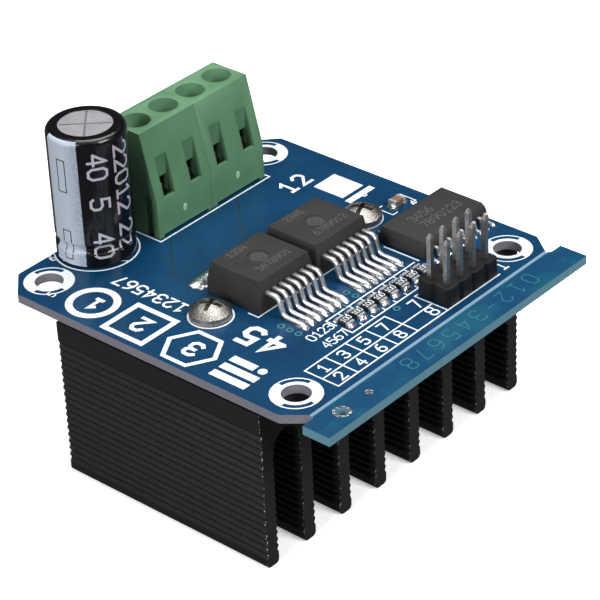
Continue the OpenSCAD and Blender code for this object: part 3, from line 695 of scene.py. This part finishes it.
for letter in "ab":
    softened(f"half_bridge_{letter}_body", "mould", 0.12)
    softened(f"half_bridge_{letter}_leads", "lead", 0.12)
    softened(f"terminal_housing_{letter}", "green", 0.1)
softened("buffer_chip_body", "chip_mould", 0.07)
softened("header_base", "header", 0.08)


# Printed marks on the board

def silk_screen():
    """White outlines, rings, a pin table and plain numbers."""
    ink = Print(place)
    # Marks round the mounting holes: a circle, and a ring that is solid on two opposite sides
    for x in HOLES_X:
        for y in HOLES_Y:
            ink.ring(x, y, 3.06, 3.24)
            ink.ring(x, y, 1.85, 2.42)
            for start in (-5, 175):
                ink.ring(x, y, 2.42, 3.06, start, start + 100)
    for x, y in SINK_SCREWS:
        ink.ring(x, y, 2.72, 2.95)
    # Terminals and capacitor
    ink.line([(1.0, 20.05), (9.1, 20.05), (9.1, 41.1), (1.0, 41.1)], 0.22)
    ink.ring(CAP_X, CAP_Y, 5.38, 5.58, -128, 128)
    ink.line([(2.3, 9.2), (8.9, 14.1)], 0.18)
    # Corners of the power packages
    for y in (14.2, 25.0):
        ink.line([(29.4, y), (31.0, y), (31.0, y + 10.5)], 0.18)
    # Chip outline and chip capacitor brackets
    ink.line([(32.75, 36.36), (38.3, 36.36)], 0.25)
    for y, reach in ((43.2, 0.9), (47.9, -0.9)):
        ink.line([(26.0, y + reach), (26.0, y), (28.6, y), (28.6, y + reach)], 0.18)
    # Resistor row
    ink.line([(38.15, 35.7), (38.15, 18.55), (39.8, 18.55)], 0.2)
    ink.line([(40.7, 18.55), (42.35, 18.55), (42.35, 31.7)], 0.2)
    for k in range(7):
        y = 20.72 + RESISTOR_PITCH * k
        ink.line([(41.75, y), (42.35, y)], 0.16)
        ink.line([(38.15, y), (38.7, y)], 0.16)
    for x, first in ((39.85, 0), (42.2, 4)):
        ink.write("".join(str((first + k) % 10) for k in range(4)), x, 14.2, 1.35, *SIDEWAYS, 0.17, 0.2)
    # Pin table: two columns of numbered cells
    low, high = 8.75, 23.7
    for x, top in ((43.15, high), (45.95, 29.5), (48.4, 39.9)):
        ink.line([(x, low), (x, top)], 0.2)
    for y in (low, 12.4, 16.2, 19.9, high):
        ink.line([(43.15, y), (48.4, y)], 0.2)
    for k, (y0, y1) in enumerate(((low, 12.4), (12.4, 16.2), (16.2, 19.9), (19.9, high))):
        for x, digit in ((45.35, 2 * k + 1), (47.95, 2 * k + 2)):
            ink.write(str(digit), x, (y0 + y1) / 2 - 0.5, 1.6, *SIDEWAYS, 0.24)
    ink.line([(43.2, 30.0), (43.2, 29.5), (48.4, 29.5)], 0.18)
    for digits, x, y in (("7", 45.3, 27.6), ("8", 47.9, 27.6), ("1", 48.2, 41.0)):
        ink.write(digits, x, y, 1.8, *SIDEWAYS, 0.24)
    # Plain numbers in a disc, a ring, a frame and a tag along the front edge
    ink.ring(12.4, 4.3, 2.55, 3.5)
    ink.write("1", 13.35, 5.3, 2.1, *REVERSED, 0.55)
    ink.line([(17.2, 1.2), (23.6, 1.2), (23.6, 7.4), (17.2, 7.4), (17.2, 1.2)], 0.75)
    ink.write("2", 21.4, 5.6, 2.6, *REVERSED, 0.55)
    ink.line([(29.2 + 3.7 * math.cos(math.radians(a)), 4.2 + 3.7 * math.sin(math.radians(a)))
              for a in range(0, 361, 60)], 0.6)
    ink.write("3", 30.2, 5.5, 2.6, *REVERSED, 0.55)
    ink.bar(34.4, 1.4, 40.0, 2.6)
    ink.bar(34.4, 3.2, 40.0, 4.4)
    ink.bar(34.4, 5.0, 38.2, 6.2)
    ink.ring(39.3, 5.6, 0.0, 0.6)
    ink.write("45", 37.6, 12.3, 3.4, *REVERSED, 0.75, 0.45)
    ink.write("1234567", 22.4, 11.0, 1.9, *REVERSED, 0.3, 0.3)
    # Writing panel, its end bar and a row of numbers behind the terminals
    ink.bar(15.6, 42.6, 20.6, 46.8)
    ink.bar(21.3, 42.2, 22.3, 47.2)
    ink.write("12", 14.3, 39.6, 2.6, *SIDEWAYS, 0.45, 0.4)
    for x, y, digits in ((22.6, 44.6, "3"), (29.3, 46.9, "4"), (7.4, 2.2, "5"), (1.3, 8.4, "6")):
        ink.write(digits, x, y, 1.1, *SIDEWAYS, 0.18)
    ink.finish("silk_print", "silk", "board")


def mask_marks():
    """Dark gaps between copper areas, the rail's numbers, plated rings, and vias drawn as discs of painted
    shade in copper rims.
    """
    gaps = Print(place, 0.008)
    gaps.line([(9.2, 34.6), (16.9, 27.1)], 0.2)
    gaps.line([(9.2, 21.6), (16.5, 14.6), (22.6, 14.6)], 0.2)
    gaps.line([(29.7, 12.3), (32.2, 15.0)], 0.14)
    gaps.line([(38.0, 12.6), (38.0, 36.0), (31.6, 36.0)], 0.14)
    gaps.finish("plane_gaps", "gap", "board")
    rail = Print(place, 0.008)
    rail.write("012-345678", 50.9, 42.0, 2.3, *DOWNWARDS, 0.14, 0.55)
    rail.finish("rail_numbers", "etched", "board")
    rings = Print(place, 0.015)
    rings.ring(52.1, 5.0, 0.82, 1.15)
    rings.ring(52.0, 10.0, 0.0, 0.5)
    rings.finish("plated_marks", "solder", "solder")
    # Painted shade: dark discs stand for the open via holes, with copper rims round them
    holes = Print(place, 0.012)
    rims = Print(place, 0.02)
    vias = ((35.9, 25.1), (37.3, 25.2), (37.7, 22.3), (43.2, 26.0),
            (34.5, 14.4), (35.9, 14.4), (37.3, 14.4))
    for x, y in vias:
        holes.ring(x, y, 0.0, 0.26, step=20)
        rims.ring(x, y, 0.26, 0.5, step=15)
    holes.finish("via_holes", "dark", "board")
    rims.finish("via_rims", "etched", "board")


silk_screen()
mask_marks()


# Solder on the surface-mounted leads

def surface_solder():
    """Solder at the leads of the packages, the chip, the resistors and the chip capacitor."""
    for letter, y in PACKAGE_Y.items():
        row(f"power_solder_{letter}", mound(36.3, y - 3 * LEAD_PITCH, 2.7, 0.98, 0.5, -0.25),
            7, (0, LEAD_PITCH, 0), "solder")
        piece(f"tab_solder_{letter}", mound(20.1, y, 3.0, 10.4, 0.55, rings=7, spokes=48),
              "solder")
    for side, x in (("left", 30.25), ("right", 40.25)):
        row(f"chip_solder_{side}", mound(x, CHIP_MIDDLE - 4.5 * LEAD_PITCH, 1.35, 0.62, 0.26),
            10, (0, LEAD_PITCH, 0), "solder")
    for side, x, lean in (("left", 39.15, 0.3), ("right", 41.35, -0.3)):
        for half in range(2):
            heap = mound(x, RESISTOR_FIRST + RESISTOR_PITCH * half, 0.95, 1.4 - 0.1 * half,
                         0.38 + 0.06 * half, lean, uneven=0.2)
            row(f"resistor_solder_{side}_{half + 1}", heap, 4, (0, 2 * RESISTOR_PITCH, 0),
                "solder")
    row("capacitor_solder", mound(27.3, 44.6, 1.45, 1.0, 0.5, uneven=0.3),
        2, (0, 2.0, 0), "solder")


surface_solder()


# Small marks on the larger parts

def gate_marks():
    """Pale torn moulding gates on the housings' inner face."""
    bm = bmesh.new()
    for y in (25.45, 35.65):
        shape = Matrix.Diagonal((0.12 * MM, 0.36 * MM, 0.6 * MM, 1.0))
        spot = Matrix.Translation(place(8.56, y, 2.55)) @ shape
        bmesh.ops.create_uvsphere(bm, u_segments=18, v_segments=12, radius=1.0, matrix=spot)
    for vertex in bm.verts:
        vertex.co += Vector((0, 0, 1)) * 0.12 * MM * noise.noise(vertex.co / MM * 2.0)
    piece("gate_marks", mesh_from(bm, "gate_marks", 60), "gate")


def package_figures():
    """Faint rows of plain figures on the packages and the chip."""
    high = (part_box("half_bridge_a_body")[1].z - CORNER.z) / MM
    ink = Print(lambda u, v, h: place(u, v, high + h), 0.006)
    for y, rows in zip(PACKAGE_Y.values(), (("1234", "5678901"), ("2345", "6789012"))):
        for k, figures in enumerate(rows):
            ink.write(figures, 23.9 + 5.0 * k, y - 2.4, 1.0, *SIDEWAYS, 0.11, 0.25)
    chip_top = (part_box("buffer_chip_body")[1].z - CORNER.z) / MM
    ink.surface = lambda u, v, h: place(u, v, chip_top + h)
    for k, figures in enumerate(("3456", "7890123")):
        ink.write(figures, 34.6 + 2.0 * k, 40.2, 1.3, *SIDEWAYS, 0.13, 0.25)
    ink.finish("package_figures", "code", "mould")


def resistor_codes():
    """A plain number on each chip resistor."""
    high = (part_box("chip_resistor_1")[1].z - CORNER.z) / MM
    ink = Print(lambda u, v, h: place(u, v, high + h), 0.008)
    for k in range(8):
        ink.write("100", 40.6, 19.1 + RESISTOR_PITCH * k, 0.72, *SIDEWAYS, 0.09, 0.14)
    ink.finish("resistor_codes", "silk", "board")


def sleeve_radius(z):
    """The sleeve's outer radius at a height, in mm, with the groove above its foot."""
    centre, cutter = 2.8, 0.9
    if abs(z - centre) < cutter:
        return min(CAP_RADIUS, CAP_RADIUS + 0.55 - math.sqrt(cutter ** 2 - (z - centre) ** 2))
    return CAP_RADIUS


def sleeve_print():
    """Plain numbers beside the stripe and two outlined bars on it."""
    def wrapped(u, v, h):
        turn = u / CAP_RADIUS
        reach = sleeve_radius(v) + 0.006 + h
        return place(CAP_X + reach * math.cos(turn), CAP_Y + reach * math.sin(turn), v)

    # Figures that read downwards, each column centred on a line down the sleeve
    white = Print(wrapped, 0.012, 0.25)
    height = 2.4
    columns = (("40", -32, 16.4), ("5", -32, 10.1), ("40", -32, 5.1), ("22012", 8.5, 16.8), ("22", 8.5, 5.6))
    for digits, turn, top in columns:
        centre = math.radians(turn) * CAP_RADIUS
        white.write(digits, centre - height / 2, top, height, *DOWNWARDS, 0.34, 0.24)
    white.finish("sleeve_numbers", "sleeve_ink", "sleeve")
    dark = Print(wrapped, 0.012, 0.25)
    middle = STRIPE_TURN * CAP_RADIUS
    for low, high in ((10.9, 15.4), (1.2, 5.3)):
        corners = [(middle - 0.6, low), (middle - 0.6, high), (middle + 0.6, high), (middle + 0.6, low)]
        dark.line(corners + corners[:1], 0.13)
    dark.finish("sleeve_bars", "bung", "sleeve")


gate_marks()
package_figures()
resistor_codes()
sleeve_print()


# Floor and light

def sky():
    """Light from all round: bright overhead, dim at middle heights, pale near the floor."""
    world = bpy.data.worlds.new("studio")
    world.use_nodes = True
    nodes, links = world.node_tree.nodes, world.node_tree.links
    way, height, ramp = (nodes.new("ShaderNode" + kind) for kind in ("TexCoord", "SeparateXYZ", "ValToRGB"))
    links.new(way.outputs["Generated"], height.inputs[0])
    links.new(height.outputs["Z"], ramp.inputs["Fac"])
    stops = ((0.0, 0.14), (0.12, 0.2), (0.24, 0.03), (0.64, 0.03), (0.8, 0.6), (1.0, 0.85))
    while len(ramp.color_ramp.elements) < len(stops):
        ramp.color_ramp.elements.new(0.5)
    for element, (position, level) in zip(ramp.color_ramp.elements, stops):
        element.position = position
        element.color = (level, level, level, 1.0)
    links.new(ramp.outputs["Color"], nodes["Background"].inputs["Color"])
    bpy.context.scene.world = world


def studio():
    """A pale floor that is kept out of bounces and reflections, three soft lamps and the sky."""
    bm = bmesh.new()
    bmesh.ops.create_grid(bm, x_segments=1, y_segments=1, size=3.0)
    mesh = bpy.data.meshes.new("floor")
    bm.to_mesh(mesh)
    bm.free()
    floor = bpy.data.objects.new("floor", mesh)
    floor_finish = bpy.data.materials.new("floor")
    floor_finish.use_nodes = True
    shader = floor_finish.node_tree.nodes["Principled BSDF"]
    shader.inputs["Base Color"].default_value = (0.95, 0.95, 0.95, 1.0)
    shader.inputs["Roughness"].default_value = 0.9
    shader.inputs["Emission Color"].default_value = (1.0, 1.0, 1.0, 1.0)
    shader.inputs["Emission Strength"].default_value = 0.4
    mesh.materials.append(floor_finish)
    bpy.context.scene.collection.objects.link(floor)
    floor.visible_diffuse = False
    floor.visible_glossy = False
    sky()
    target = Vector((0.0, 0.0, 0.02))
    for name, spot, size, power in (
        ("overhead", (-0.1, 0.2, 0.65), 0.45, 3.3),
        ("side", (0.6, 0.08, 0.5), 0.35, 4.6),
        ("front", (0.0, -0.65, 0.32), 0.35, 3.8),
    ):
        data = bpy.data.lights.new(name, "AREA")
        data.size = size
        data.energy = power
        lamp = bpy.data.objects.new(name, data)
        lamp.location = spot
        lamp.rotation_euler = (target - Vector(spot)).to_track_quat("-Z", "Y").to_euler()
        bpy.context.scene.collection.objects.link(lamp)


studio()
